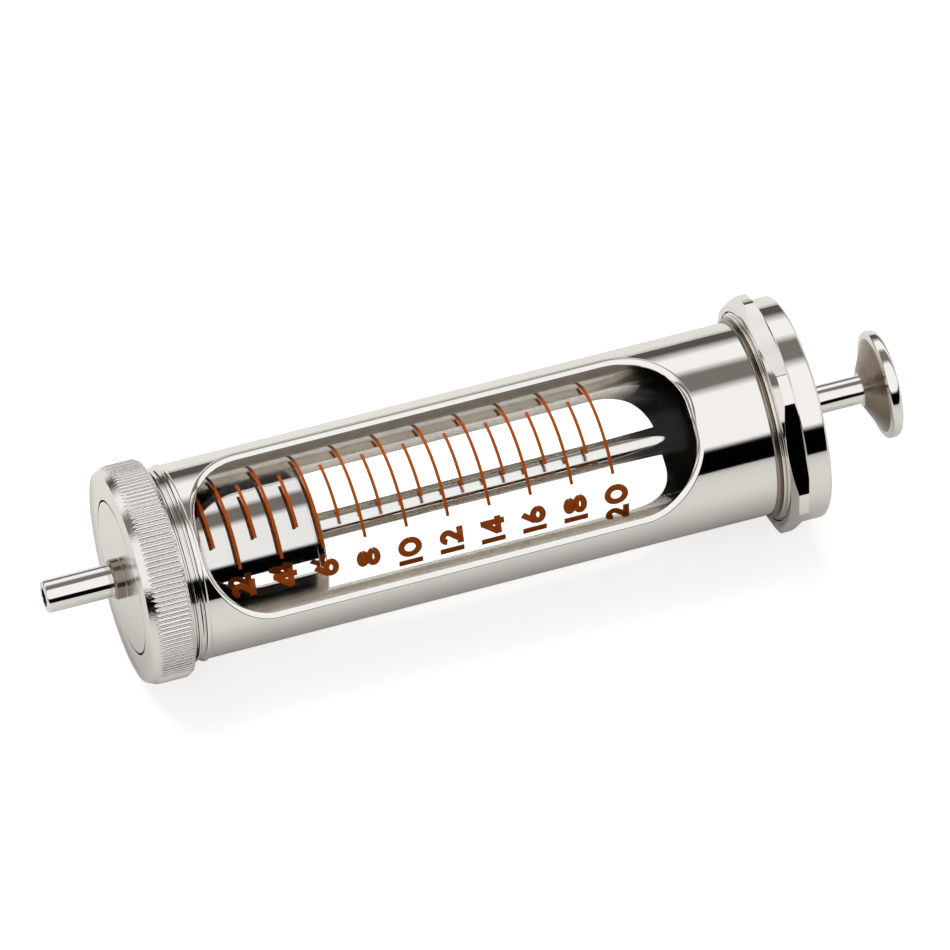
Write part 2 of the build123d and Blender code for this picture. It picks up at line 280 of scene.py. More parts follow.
def dress(piece, body, slot, *nodes):
    """The piece rides on a body and stands for these nodes."""
    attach(piece, body)
    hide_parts(*nodes)
    return piece


# Shader groups and materials


def new_group(name, inputs, outputs):
    """Empty shader group with float inputs (name, default) and float outputs."""
    group = bpy.data.node_groups.new(name, "ShaderNodeTree")
    for label, default in inputs:
        socket = group.interface.new_socket(
            name=label, in_out="INPUT", socket_type="NodeSocketFloat")
        socket.default_value = default
    for label in outputs:
        group.interface.new_socket(name=label, in_out="OUTPUT", socket_type="NodeSocketFloat")
    return group, group.nodes.new("NodeGroupInput"), group.nodes.new("NodeGroupOutput")


def maths(tree, operation, a, b=None):
    """Output of a Math node on two sockets or numbers."""
    node = tree.nodes.new("ShaderNodeMath")
    node.operation = operation
    for socket, value in zip(node.inputs, (a, b)):
        if value is None:
            continue
        if isinstance(value, (int, float)):
            socket.default_value = value
        else:
            tree.links.new(value, socket)
    return node.outputs[0]


def axis_places(tree):
    """Sockets with the distance along the axis, the radius and the angle about it, in metres."""
    where = tree.nodes.new("ShaderNodeTexCoord")
    parts = tree.nodes.new("ShaderNodeSeparateXYZ")
    tree.links.new(where.outputs["Object"], parts.inputs[0])
    x, y, z = parts.outputs
    squares = maths(tree, "ADD", maths(tree, "MULTIPLY", y, y), maths(tree, "MULTIPLY", z, z))
    return x, maths(tree, "SQRT", squares), maths(tree, "ARCTAN2", z, y)


def noise_at(tree, vector, scale, detail, roughness=0.5):
    """Output of a noise texture read at a vector."""
    noise = tree.nodes.new("ShaderNodeTexNoise")
    noise.inputs["Scale"].default_value = scale
    noise.inputs["Detail"].default_value = detail
    noise.inputs["Roughness"].default_value = roughness
    tree.links.new(vector, noise.inputs["Vector"])
    return noise.outputs["Fac"]


def joined(tree, x, y, z):
    """Vector joined from three sockets or numbers."""
    node = tree.nodes.new("ShaderNodeCombineXYZ")
    for socket, value in zip(node.inputs, (x, y, z)):
        if isinstance(value, (int, float)):
            socket.default_value = value
        else:
            tree.links.new(value, socket)
    return node.outputs[0]


def polishing_group():
    """Slow waves and fine scratches that hand polishing leaves along a turned surface."""
    group, given, given_back = new_group(
        "polishing", [("Wave size", 0.012), ("Stretch", 4.0)], ["Waves", "Scratches", "Smudges"])
    x, radius, angle = axis_places(group)
    along = maths(group, "DIVIDE", x, maths(group, "MULTIPLY", given.outputs[0], given.outputs[1]))
    outward = maths(group, "DIVIDE", radius, given.outputs[0])
    waves = joined(group, along, maths(group, "MULTIPLY", angle, 1.3), outward)
    group.links.new(noise_at(group, waves, 1.0, 2.0), given_back.inputs["Waves"])
    fine = joined(group, maths(group, "MULTIPLY", x, 90.0), maths(group, "MULTIPLY", angle, 40.0),
                  maths(group, "MULTIPLY", radius, 3000.0))
    group.links.new(noise_at(group, fine, 1.0, 6.0, 0.7), given_back.inputs["Scratches"])
    where = group.nodes.new("ShaderNodeTexCoord")
    group.links.new(
        noise_at(group, where.outputs["Object"], 140.0, 4.0, 0.6), given_back.inputs["Smudges"])
    return group


def turning_group():
    """Rings that a cutting tool leaves on a faced or turned surface."""
    group, given, given_back = new_group("turning marks", [("Feed", 0.00016)], ["Rings", "Fade"])
    x, radius, angle = axis_places(group)
    slow_angle = maths(group, "MULTIPLY", angle, 0.35)
    across = maths(group, "DIVIDE", maths(group, "ADD", radius, x), given.outputs[0])
    rings = noise_at(group, joined(group, across, slow_angle, 0.0), 1.0, 3.0, 0.65)
    group.links.new(rings, given_back.inputs["Rings"])
    slow = joined(group, maths(group, "MULTIPLY", across, 0.12), slow_angle, 3.0)
    group.links.new(noise_at(group, slow, 1.0, 1.0), given_back.inputs["Fade"])
    return group


def grain_group():
    """Even fine grain, for fibre, rubber, enamel and ground metal."""
    group, given, given_back = new_group("grain", [("Grain size", 0.0002)], ["Grain", "Blotches"])
    where = group.nodes.new("ShaderNodeTexCoord")
    size = group.nodes.new("ShaderNodeVectorMath")
    size.operation = "DIVIDE"
    group.links.new(where.outputs["Object"], size.inputs[0])
    group.links.new(given.outputs[0], size.inputs[1])
    group.links.new(noise_at(group, size.outputs[0], 1.0, 3.0), given_back.inputs["Grain"])
    group.links.new(noise_at(group, size.outputs[0], 0.09, 3.0), given_back.inputs["Blotches"])
    return group


def group_named(name, maker):
    """The shader group, built once."""
    return bpy.data.node_groups.get(name) or maker()


def new_material(name):
    """Material with its Principled shader."""
    material = bpy.data.materials.new(name)
    material.use_nodes = True
    return material, material.node_tree, material.node_tree.nodes["Principled BSDF"]


def add_group(tree, group, **values):
    """Group node in a material, with its own values."""
    node = tree.nodes.new("ShaderNodeGroup")
    node.node_tree = group
    for label, value in values.items():
        node.inputs[label.replace("_", " ")].default_value = value
    return node


def spread(tree, factor, low, high):
    """Factor from 0 to 1 spread between two numbers."""
    node = tree.nodes.new("ShaderNodeMapRange")
    node.inputs["From Min"].default_value = 0.3
    node.inputs["From Max"].default_value = 0.7
    node.inputs["To Min"].default_value = low
    node.inputs["To Max"].default_value = high
    tree.links.new(factor, node.inputs["Value"])
    return node.outputs["Result"]


def tinted(tree, factor, low, high):
    """Colour between two colours."""
    node = tree.nodes.new("ShaderNodeMix")
    node.data_type = "RGBA"
    node.inputs["A"].default_value = (*low, 1)
    node.inputs["B"].default_value = (*high, 1)
    tree.links.new(factor, node.inputs["Factor"])
    return node.outputs["Result"]


def bumped(tree, shader, height, distance, before=None):
    """Bump from a height between 0 and 1, after another bump if there is one."""
    node = tree.nodes.new("ShaderNodeBump")
    node.inputs["Distance"].default_value = distance
    node.inputs["Strength"].default_value = 1.0
    tree.links.new(height, node.inputs["Height"])
    if before is not None:
        tree.links.new(before, node.inputs["Normal"])
    tree.links.new(node.outputs["Normal"], shader.inputs["Normal"])
    return node.outputs["Normal"]


def shaded(colour, share):
    """The colour made darker."""
    return tuple(c * share for c in colour)


def polished_nickel(finishes):
    """Bright nickel plate with slow polishing waves and faint scratches."""
    material, tree, shader = new_material("polished_nickel")
    shader.inputs["Metallic"].default_value = 1.0
    marks = add_group(
        tree, group_named("polishing", polishing_group), Wave_size=12 * MM, Stretch=4.0)
    colour = tinted(tree, marks.outputs["Smudges"], shaded(finishes.nickel, 0.97), finishes.nickel)
    tree.links.new(colour, shader.inputs["Base Color"])
    rough = finishes.nickel_roughness
    tree.links.new(
        spread(tree, marks.outputs["Scratches"], 0.6 * rough, 1.6 * rough),
        shader.inputs["Roughness"])
    waves = bumped(tree, shader, marks.outputs["Waves"], 0.12 * MM)
    bumped(tree, shader, marks.outputs["Scratches"], 0.0012 * MM, before=waves)
    return material


def ringed_metal(name, feed, dark, light, smoothest, roughest, ring_height):
    """Metal with the rings that a cutting tool leaves on it."""
    material, tree, shader = new_material(name)
    shader.inputs["Metallic"].default_value = 1.0
    rings = add_group(tree, group_named("turning marks", turning_group), Feed=feed)
    tree.links.new(tinted(tree, rings.outputs["Fade"], dark, light), shader.inputs["Base Color"])
    tree.links.new(
        spread(tree, rings.outputs["Rings"], smoothest, roughest), shader.inputs["Roughness"])
    bumped(tree, shader, rings.outputs["Rings"], ring_height)
    return material


def satin_nickel(finishes):
    """Nickel plate over fine turning marks."""
    return ringed_metal("satin_nickel", 0.16 * MM, shaded(finishes.nickel, 0.93), finishes.nickel,
                        0.16, 0.30, 0.006 * MM)


def bored_nickel():
    """Dull nickel of bores, grooves, corners and undersides, which no polishing wheel reaches; its
    dark brown colour is painted shade.
    """
    # The dark brown colours are painted shade for bores, recesses and undersides; the higher
    # roughness is the unpolished finish.
    return ringed_metal("bored_nickel", 0.3 * MM, (0.25, 0.21, 0.17), (0.38, 0.33, 0.27),
                        0.16, 0.26, 0.003 * MM)


def lapped_nickel(finishes):
    """Ground and lapped piston."""
    return ringed_metal("lapped_nickel", 0.22 * MM, shaded(finishes.piston, 0.94), finishes.piston,
                        0.02, 0.05, 0.001 * MM)


def turned_brass():
    """Turned brass."""
    return ringed_metal("turned_brass", 0.18 * MM, (0.62, 0.46, 0.22), (0.74, 0.57, 0.30),
                        0.18, 0.32, 0.005 * MM)


def grained(name, grain_size, dark, light, smoothest, roughest, grain_height, shown="Grain"):
    """Material with fine even grain, coloured by one of the grain group's values."""
    material, tree, shader = new_material(name)
    grain = add_group(tree, group_named("grain", grain_group), Grain_size=grain_size)
    tree.links.new(tinted(tree, grain.outputs[shown], dark, light), shader.inputs["Base Color"])
    tree.links.new(
        spread(tree, grain.outputs["Grain"], smoothest, roughest), shader.inputs["Roughness"])
    bumped(tree, shader, grain.outputs["Grain"], grain_height)
    return material, shader


def knurled_nickel(finishes):
    """Nickel plate on the knurl, with fine grain."""
    material, shader = grained("knurled_nickel", 0.25 * MM, shaded(finishes.nickel, 0.88),
                               finishes.nickel, 0.06, 0.14, 0.02 * MM)
    shader.inputs["Metallic"].default_value = 1.0
    return material


def fired_enamel(finishes):
    """Fired amber-brown enamel with a soft gloss."""
    material, shader = grained("fired_enamel", 0.18 * MM, shaded(finishes.enamel, 0.72),
                               shaded(finishes.enamel, 1.18), 0.35, 0.5, 0.008 * MM)
    shader.inputs["Specular Tint"].default_value = (0.3, 0.2, 0.1, 1)
    return material


def pressed_fibre():
    """Pressed red-brown fibre."""
    return grained("pressed_fibre", 0.15 * MM, (0.22, 0.11, 0.07), (0.42, 0.24, 0.16),
                   0.7, 0.9, 0.03 * MM)[0]


def matt_rubber():
    """Matt black rubber."""
    return grained("matt_rubber", 0.12 * MM, (0.012, 0.012, 0.012), (0.03, 0.03, 0.03),
                   0.55, 0.75, 0.01 * MM, shown="Blotches")[0]


def drawn_glass(finishes):
    """Clear glass with the faintest drawing waves."""
    material, tree, shader = new_material("drawn_glass")
    shader.inputs["Base Color"].default_value = (0.985, 0.992, 0.99, 1)
    shader.inputs["Roughness"].default_value = 0.0
    shader.inputs["Transmission Weight"].default_value = 1.0
    shader.inputs["IOR"].default_value = finishes.glass_ior
    shader.inputs["Specular Tint"].default_value = (0.2, 0.2, 0.2, 1)
    marks = add_group(
        tree, group_named("polishing", polishing_group), Wave_size=20 * MM, Stretch=9.0)
    bumped(tree, shader, marks.outputs["Waves"], 0.02 * MM)
    return material


def finish_named(name, maker, *values):
    """The material, built once."""
    return bpy.data.materials.get(name) or maker(*values)


def dull(piece, chosen):
    """Gives the dull finish, with its painted shade, to the faces that are chosen by their centre
    and radius.
    """
    piece.data.materials.append(finish_named("bored_nickel", bored_nickel))
    for face in piece.data.polygons:
        if chosen(face.center, math.hypot(face.center.y, face.center.z)):
            face.material_index = 1


def paint(node, material):
    """Gives a CAD node its finish."""
    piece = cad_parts[node]
    piece.data.materials.clear()
    piece.data.materials.append(material)


# Nozzle

COLLAR_FACE_R = 3.15 * MM
COLLAR_EDGE = 0.25 * MM
PLATE_R = 11.9 * MM
GAP_SHADE = 0.1 * MM
LIP_DEPTH = 1.8 * MM
SHOULDER_R = 14.93 * MM
SHOULDER_DEPTH = 1.8 * MM
NOZZLE_BORE_R = 1.5 * MM
TIP_BORE_EDGE = 0.12 * MM
TIP_ROUND = 0.62 * MM
SPIGOT_STEP = 2.05 * MM
PLATE_EDGE = 0.08 * MM
SEAT_STEP = 0.2 * MM
SEAT_GAP = 0.03 * MM


class SYRINGE_OT_nozzle(bpy.types.Operator):
    """Nozzle tube and the nozzle head with its polished plate"""

    bl_idname = "syringe.nozzle"
    bl_label = "Nozzle"

    def execute(self, context):
        finishes = context.scene.syringe_finishes
        bright = finish_named("polished_nickel", polished_nickel, finishes)
        satin = finish_named("satin_nickel", satin_nickel, finishes)
        seat_r = TUBE_R - SEAT_STEP
        tube = turned("nozzle_pipe", bright, [
            (TUBE_FRONT, NOZZLE_BORE_R, TIP_BORE_EDGE),
            (HEAD_REAR, NOZZLE_BORE_R),
            (HEAD_REAR, seat_r),
            (0, seat_r),
            (0, TUBE_R),
            (TUBE_FRONT, TUBE_R, TIP_ROUND),
        ], columns=128, arc_steps=10)
        dress(tube, "nozzle", "bright_nickel", "nozzle_tube")
        lip_x = NUT_FRONT + LIP_DEPTH
        head_rear = lip_x + SHOULDER_DEPTH
        spigot_r = GLASS_R - SPIGOT_STEP
        head = turned("nozzle_plate", satin, [
            (0, seat_r + SEAT_GAP),
            (0, COLLAR_FACE_R - COLLAR_EDGE),
            (COLLAR_EDGE, COLLAR_FACE_R),
            (NUT_FRONT, COLLAR_FACE_R, 0.12 * MM),
            (NUT_FRONT, PLATE_R, PLATE_EDGE),
            (lip_x, PLATE_R),
            (lip_x, SHOULDER_R),
            (head_rear, SHOULDER_R),
            (head_rear, spigot_r),
            (HEAD_REAR, spigot_r),
            (HEAD_REAR, seat_r + SEAT_GAP),
        ], columns=224)
        # Painted shade: the narrow collar round the tube and everything behind the plate's front
        # face get the dark dull finish.
        dull(head, lambda centre, radius: radius < COLLAR_FACE_R * 1.01
             or centre.x > NUT_FRONT + GAP_SHADE)
        dress(head, "nozzle", "turned_nickel", "nozzle_head")
        return {"FINISHED"}


# Front nut

NUT_BORE_R = 15.33 * MM
NUT_LIP_R = 12.2 * MM
NUT_FRONT_BEVEL = (1.1 * MM, 0.5 * MM)
NUT_REAR_BEVEL = (0.4 * MM, 0.3 * MM)
NUT_LIP_EDGE = 0.08 * MM
COLUMNS_PER_TOOTH = 8
CREST_SHARPNESS = 3.2
BEVEL_STATIONS = (1.12, 1.0, 0.9, 0.78, 0.66, 0.54, 0.42)
KNURL_STATIONS = 8
TOOTH_UNEVENNESS = 0.16


def knurl_radius(sizes, heights, x, angle):
    """Radius of the knurled face, where the bevels cut its teeth at both ends."""
    turn = angle / (2 * math.pi) * sizes.knurl_teeth
    tooth = math.floor(turn)
    share = turn - tooth
    slope = 1 - abs(2 * share - 1)
    crest = 1 - math.exp(-CREST_SHARPNESS * slope)
    crest /= 1 - math.exp(-CREST_SHARPNESS)
    drop = sizes.knurl_depth * heights[tooth % sizes.knurl_teeth]
    tooth_r = NUT_R - sizes.knurl_depth + drop * crest
    rim = NUT_R - sizes.knurl_depth / 2
    front = (x - NUT_FRONT) / NUT_FRONT_BEVEL[0]
    rear = (NUT_REAR - x) / NUT_REAR_BEVEL[0]
    front_cone = rim - NUT_FRONT_BEVEL[1] * (1 - front)
    rear_cone = rim - NUT_REAR_BEVEL[1] * (1 - rear)
    return min(tooth_r, front_cone, rear_cone)


class SYRINGE_OT_front_nut(bpy.types.Operator):
    """Knurled front nut"""

    bl_idname = "syringe.front_nut"
    bl_label = "Front nut"

    def execute(self, context):
        sizes = context.scene.syringe_sizes
        finishes = context.scene.syringe_finishes
        satin = finish_named("satin_nickel", satin_nickel, finishes)
        knurled = finish_named("knurled_nickel", knurled_nickel, finishes)
        chance = random.Random(7)
        heights = [1 - TOOTH_UNEVENNESS * chance.random() for _ in range(sizes.knurl_teeth)]
        columns = sizes.knurl_teeth * COLUMNS_PER_TOOTH
        rim = NUT_R - sizes.knurl_depth / 2
        lip_x = NUT_FRONT + LIP_DEPTH
        front_r = rim - NUT_FRONT_BEVEL[1]
        rear_r = rim - NUT_REAR_BEVEL[1]
        bevel_start = NUT_FRONT + NUT_FRONT_BEVEL[0] * (NUT_FRONT_BEVEL[1] - sizes.knurl_depth) \
            / NUT_FRONT_BEVEL[1]
        section = softened([
            (NUT_REAR, rear_r, 0),
            (NUT_FRONT, front_r, 0),
            (NUT_FRONT, NUT_LIP_R, NUT_LIP_EDGE),
            (lip_x, NUT_LIP_R),
            (lip_x, NUT_BORE_R),
            (NUT_REAR, NUT_BORE_R),
        ])
        shell = Shell()
        angles = [2 * math.pi * j / columns for j in range(columns)]
        smooth_rows = [
            [shell.point(about_axis(p.x, p.y, a), about_axis(n.x, n.y, a)) for a in angles]
            for p, n in section
            if not (p.y > front_r - 0.01 * MM and abs(n.x) < 0.95)
        ]
        shell.sheet(smooth_rows, wrap_columns=True)
        knurl = Shell()
        flat_rear = NUT_REAR - NUT_REAR_BEVEL[0] - 0.25 * MM
        flat_front = NUT_FRONT + 1.25 * NUT_FRONT_BEVEL[0]
        stops = [NUT_REAR, NUT_REAR - 0.5 * NUT_REAR_BEVEL[0], NUT_REAR - NUT_REAR_BEVEL[0],
                 flat_rear]
        stops += [flat_rear + (flat_front - flat_rear) * n / KNURL_STATIONS
                  for n in range(1, KNURL_STATIONS + 1)]
        stops += [NUT_FRONT + NUT_FRONT_BEVEL[0] * share for share in BEVEL_STATIONS]
        stops += [bevel_start, NUT_FRONT]
        stops = sorted(set(stops), reverse=True)
        small = 0.2 * 2 * math.pi / columns
        step = 0.01 * MM
        rows = []
        for x in stops:
            row = []
            for a in angles:
                radius = knurl_radius(sizes, heights, x, a)
                by_angle = (knurl_radius(sizes, heights, x, a + small)
                            - knurl_radius(sizes, heights, x, a - small)) / (2 * small)
                by_place = (knurl_radius(sizes, heights, x + step, a)
                            - knurl_radius(sizes, heights, x - step, a)) / (2 * step)
                outward = about_axis(-by_place, 1, a)
                round_way = about_axis(0, 1, a + math.pi / 2)
                normal = (outward - round_way * (by_angle / radius)).normalized()
                row.append(knurl.point(about_axis(x, radius, a), normal))
            rows.append(row)
        knurl.sheet(rows, wrap_columns=True)
        ring = shell.piece("nut_ring", satin)
        # Painted shade: the bore of the nut's front lip gets the dark dull finish.
        dull(ring, lambda centre, radius: radius < NUT_LIP_R + GAP_SHADE / 2
             and centre.x > NUT_FRONT + GAP_SHADE)
        dress(ring, "front_nut", "turned_nickel", "front_nut")
        rim_piece = knurl.piece("nut_knurl", knurled)
        dress(rim_piece, "front_nut", "turned_nickel", "front_nut")
        return {"FINISHED"}


# Sleeve

SLEEVE_WALL = 1.2 * MM
WINDOW_SETBACK = 0.1 * MM
LIP_WALL = 0.25 * MM
LIP_SIDE_RUN = 1.25
LIP_BENDS = [(0, 42, 0.30, 6), (42, 60, 3.5, 10), (60, 90, 0.15, 4)]
SIDE_STATIONS = 48
END_STATIONS = 20
CORNER_STATIONS = 20
PATCH_REACH = 2.5
PATCH_STEPS = 8
BEAD_STEPS = 10
THREAD_END_GAP = 0.15 * MM
THREAD_RUNOUT = 0.6 * MM
THREAD_STEPS = 14
THREAD_ROUNDNESS = 0.8


def window_stations(half_length, half_width, corner):
    """Stations round a window: (foot, way out, number of its side, share along that side)."""
    inner_x, inner_t = half_length - corner, half_width - corner
    stations = []
    sides = [((-1, 0), END_STATIONS), ((0, 1), SIDE_STATIONS), ((1, 0), END_STATIONS),
             ((0, -1), SIDE_STATIONS)]
    for number, ((out_x, out_t), count) in enumerate(sides):
        start_angle = math.atan2(out_t, out_x)
        half = CORNER_STATIONS // 2
        total = count + 2 * half
        go_x, go_t = out_t, -out_x
        for n in range(total):
            if n < half:
                angle = start_angle + math.pi / 4 * (1 - n / half)
                foot_share = -1
            elif n <= half + count:
                angle = start_angle
                foot_share = 2 * (n - half) / count - 1
            else:
                angle = start_angle - math.pi / 4 * (n - half - count) / half
                foot_share = 1
            foot = (out_x * inner_x + go_x * inner_x * foot_share,
                    out_t * inner_t + go_t * inner_t * foot_share)
            stations.append((foot, (math.cos(angle), math.sin(angle)), number, n / total))
    return stations


def lip_profile():
    """Way down a lip from its outer edge: (share of run, share of depth, lean of the normal)."""
    run, depth = 0.0, 0.0
    places = [(run, depth, 0.0)]
    for start, end, radius, steps in LIP_BENDS:
        leans = [math.radians(start + (end - start) * n / steps) for n in range(steps + 1)]
        for here, beyond in zip(leans, leans[1:]):
            run += radius * (math.sin(beyond) - math.sin(here))
            depth += radius * (math.cos(here) - math.cos(beyond))
            places.append((run, depth, beyond))
    return [(1 - along / run, down / depth, lean) for along, down, lean in places]


class SYRINGE_OT_sleeve(bpy.types.Operator):
    """Sleeve with its thread, bead and two windows with rounded lips"""

    bl_idname = "syringe.sleeve"
    bl_label = "Sleeve"

    def execute(self, context):
        sizes = context.scene.syringe_sizes
        finishes = context.scene.syringe_finishes
        bright = finish_named("polished_nickel", polished_nickel, finishes)
        outer_r = BEAD_R - sizes.bead_height
        inner_r = outer_r - SLEEVE_WALL
        bead_start = NUT_REAR + sizes.thread_shown
        bead_end = bead_start + sizes.bead_width
        front_x = bead_end + WINDOW_SETBACK + sizes.lip_run
        rear_x = COLLAR_FRONT - sizes.rear_land - sizes.lip_run
        after_x = rear_x + PATCH_REACH * sizes.lip_run
        middle = (front_x + rear_x) / 2
        stations = window_stations(
            (rear_x - front_x) / 2, sizes.window_width / 2, sizes.window_corner)
        shell = Shell()
        end_total = END_STATIONS + 2 * (CORNER_STATIONS // 2)

        def on_outline(station, run_x, run_t, radius, centre_angle):
            """Point of the window's outline, moved outwards and laid on a radius."""
            (foot_x, foot_t), (way_x, way_t), _, _ = station
            x = middle + foot_x + way_x * (sizes.window_corner + run_x)
            t = foot_t + way_t * (sizes.window_corner + run_t)
            return x, centre_angle + math.asin(t / radius)

        def on_border(station, centre_angle):
            """Point of the patch's border that a station looks at."""
            _, _, side, share = station
            if side == 0:
                return bead_end, centre_angle + math.pi * (share - 0.5)
            if side == 1:
                return bead_end + (after_x - bead_end) * share, centre_angle + math.pi / 2
            if side == 2:
                return after_x, centre_angle + math.pi * (0.5 - share)
            return after_x - (after_x - bead_end) * share, centre_angle - math.pi / 2

        def patch(radius, run_x, run_t, centre_angle, facing):
            """Rows from a window's outline out to the border of its half of the sleeve."""
            rows = []
            for n in range(PATCH_STEPS + 1):
                share = n / PATCH_STEPS
                row = []
                for station in stations:
                    x0, a0 = on_outline(station, run_x, run_t, radius, centre_angle)
                    x1, a1 = on_border(station, centre_angle)
                    x, angle = x0 + (x1 - x0) * share, a0 + (a1 - a0) * share
                    row.append(shell.point(
                        about_axis(x, radius, angle), facing * about_axis(0, 1, angle)))
                rows.append(row)
            return rows

        lip_low = inner_r + LIP_WALL
        run_t = sizes.lip_run * LIP_SIDE_RUN
        for centre_angle in (sizes.window_angle, sizes.window_angle + math.pi):
            outside = patch(outer_r, sizes.lip_run, run_t, centre_angle, 1)
            shell.sheet([row + row[:1] for row in outside])
            rows = []
            for share, down, lean in lip_profile():
                radius = outer_r - (outer_r - lip_low) * down
                row = []
                for station in stations:
                    x, turn = on_outline(station, share * sizes.lip_run, share * run_t, radius,
                                         centre_angle)
                    way_x, way_t = station[1]
                    outward = Vector((way_x, 0, 0)) + about_axis(0, way_t, turn + math.pi / 2)
                    normal = about_axis(0, math.cos(lean), turn) - outward * math.sin(lean)
                    row.append(shell.point(about_axis(x, radius, turn), normal))
                rows.append(row)
            wall = []
            for station in stations:
                x, turn = on_outline(station, 0, 0, inner_r + FINE_EDGE, centre_angle)
                way_x, way_t = station[1]
                wall.append(shell.point(
                    about_axis(x, inner_r + FINE_EDGE, turn),
                    about_axis(-way_x, 0, 0) - about_axis(0, way_t, turn + math.pi / 2)))
            rows = [wall, *rows[:0:-1], outside[0]]
            shell.sheet([row + row[:1] for row in rows])
            inside = patch(inner_r, FINE_EDGE, FINE_EDGE, centre_angle, -1)
            shell.sheet([row + row[:1] for row in [rows[0]] + inside][::-1])

        ring_angles = []
        for centre_angle in (sizes.window_angle, sizes.window_angle + math.pi):
            ring_angles += [
                centre_angle + math.pi * (n / end_total - 0.5) for n in range(end_total)]

        def ring(x, radius, normal_x, normal_r):
            """Row of points round the sleeve, at the angles of the windows' borders."""
            return [shell.point(about_axis(x, radius, a), about_axis(normal_x, normal_r, a))
                    for a in ring_angles]

        bead = []
        half = sizes.bead_width / 2
        bead_round = (half ** 2 + sizes.bead_height ** 2) / (2 * sizes.bead_height)
        reach_angle = math.asin(half / bead_round)
        bead_centre = outer_r + sizes.bead_height - bead_round
        for n in range(1, BEAD_STEPS):
            lean = reach_angle * (1 - 2 * n / BEAD_STEPS)
            bead.append(ring(
                bead_start + half + bead_round * math.sin(lean),
                bead_centre + bead_round * math.cos(lean), math.sin(lean), math.cos(lean)))
        thread_rows = []
        root = outer_r - sizes.thread_depth
        thread_end = bead_start - THREAD_END_GAP
        thread_steps = round((thread_end - SLEEVE_FRONT) / sizes.thread_pitch * THREAD_STEPS)
        for n in range(thread_steps + 1):
            x = thread_end - (thread_end - SLEEVE_FRONT) * n / thread_steps
            row = []
            for a in ring_angles:
                phase = (x / sizes.thread_pitch - a / (2 * math.pi)) * 2 * math.pi
                wave = math.cos(phase)
                fade = min(1, max(0, (bead_start - x) / THREAD_RUNOUT))
                radius = root + sizes.thread_depth * fade * (0.5 + 0.5 * wave) ** THREAD_ROUNDNESS
                slope = -sizes.thread_depth * fade * 0.5 * math.sin(phase) * 2 * math.pi \
                    / sizes.thread_pitch
                row.append(shell.point(
                    about_axis(x, radius, a), about_axis(-slope, 1, a).normalized()))
            thread_rows.append(row)
        front_ring = ring(SLEEVE_FRONT, inner_r, -1, 0)
        neck = ring(bead_start, root, 0.7, 0.7)
        bead_edge = ring(bead_start, outer_r, -0.8, 0.6)
        window_edge = ring(bead_end, outer_r, 0, 1)
        shell.sheet([window_edge, *bead, bead_edge, neck, *thread_rows, front_ring],
                    wrap_columns=True)
        inner_front = ring(bead_end, inner_r, 0, -1)
        shell.sheet([front_ring, inner_front], wrap_columns=True)
        rear_outer = [ring(after_x + (SLEEVE_REAR - after_x) * s, outer_r, 0, 1)
                      for s in (1, 0.75, 0.5, 0.25, 0)]
        shell.sheet(rear_outer, wrap_columns=True)
        rear_end = ring(SLEEVE_REAR, inner_r, 0, -1)
        shell.sheet([ring(after_x, inner_r, 0, -1), rear_end, rear_outer[0]], wrap_columns=True)
        sleeve = shell.piece("windowed_sleeve", bright)
        # Painted shade: the sleeve's bore gets the dark dull finish.
        dull(sleeve, lambda centre, radius: radius < inner_r + FINE_EDGE / 2)
        dress(sleeve, "barrel", "bright_nickel", "barrel_sleeve")
        return {"FINISHED"}


# Glass and scale

GLASS_WALL = 1.9 * MM
GLASS_EDGE = 0.35 * MM
CAPACITY = 20
ZERO_X = PISTON_FRONT
ML_LENGTH = 1e-6 / (math.pi * (GLASS_R - GLASS_WALL) ** 2)
ONES_ANGLE = math.radians(161)
NUMERAL_GAP = 0.55 * MM


def stroke(points, width):
    """Outline of a flat stroke of one width that follows some points, with square ends."""
    left, right = [], []
    for i, here in enumerate(points):
        before = (here - points[i - 1]).normalized() if i else None
        after = (points[i + 1] - here).normalized() if i + 1 < len(points) else None
        along = ((before or after) + (after or before)).normalized()
        stretch = 1 / max(along.dot(before or after), 0.4)
        side = Vector((-along.y, along.x)) * width / 2 * stretch
        left.append(here + side)
        right.append(here - side)
    return left + right[::-1]


def arc(centre, size, start, end, steps=28):
    """Points along an arc of an ellipse, angles in degrees."""
    turns = [math.radians(start + (end - start) * n / steps) for n in range(steps + 1)]
    return [Vector((centre[0] + size[0] * math.cos(t), centre[1] + size[1] * math.sin(t)))
            for t in turns]


def numeral_strokes(digit, thick):
    """Strokes of a digit of height 1, as lists of points along the middle, and its width."""
    half = thick / 2
    if digit == "0":
        return [arc((0.46, 0.5), (0.46 - half, 0.5 - half), 0, 360, 56)], 0.92
    if digit == "1":
        return [[Vector((half, 0)), Vector((half, 1))]], thick
    if digit == "2":
        bowl = arc((0.38, 0.66), (0.34 - half, 0.34 - half), 172, -38)
        foot = [Vector((0.0, half)), Vector((0.78, half))]
        return [bowl + [Vector((0.06 + half, half))], foot], 0.78
    if digit == "4":
        return [
            [Vector((0.60, 0)), Vector((0.60, 1))],
            [Vector((0.60 - half * 0.2, 1 - half)), Vector((0.09, 0.27))],
            [Vector((0.02, 0.27)), Vector((0.84, 0.27))],
        ], 0.84
    if digit == "6":
        return [arc((0.40, 0.335), (0.40 - half, 0.335 - half), 0, 360, 56),
                [Vector((0.12, 0.46)), Vector((0.54, 0.97))]], 0.80
    return [arc((0.42, 0.30), (0.42 - half, 0.30 - half), 0, 360, 56),
            arc((0.42, 0.735), (0.37 - half, 0.265 - half), 0, 360, 56)], 0.84


def numeral_slab(text, height, thick):
    """Strokes of a number that stands on y = 0, with their outlines, and its width."""
    parts = []
    cursor = 0.0
    for digit in text:
        strokes, width = numeral_strokes(digit, thick / height)
        for points in strokes:
            outline = stroke([p * height + Vector((cursor, 0)) for p in points], thick)
            parts.append((points, outline))
        cursor += width * height + NUMERAL_GAP
    return parts, cursor - NUMERAL_GAP


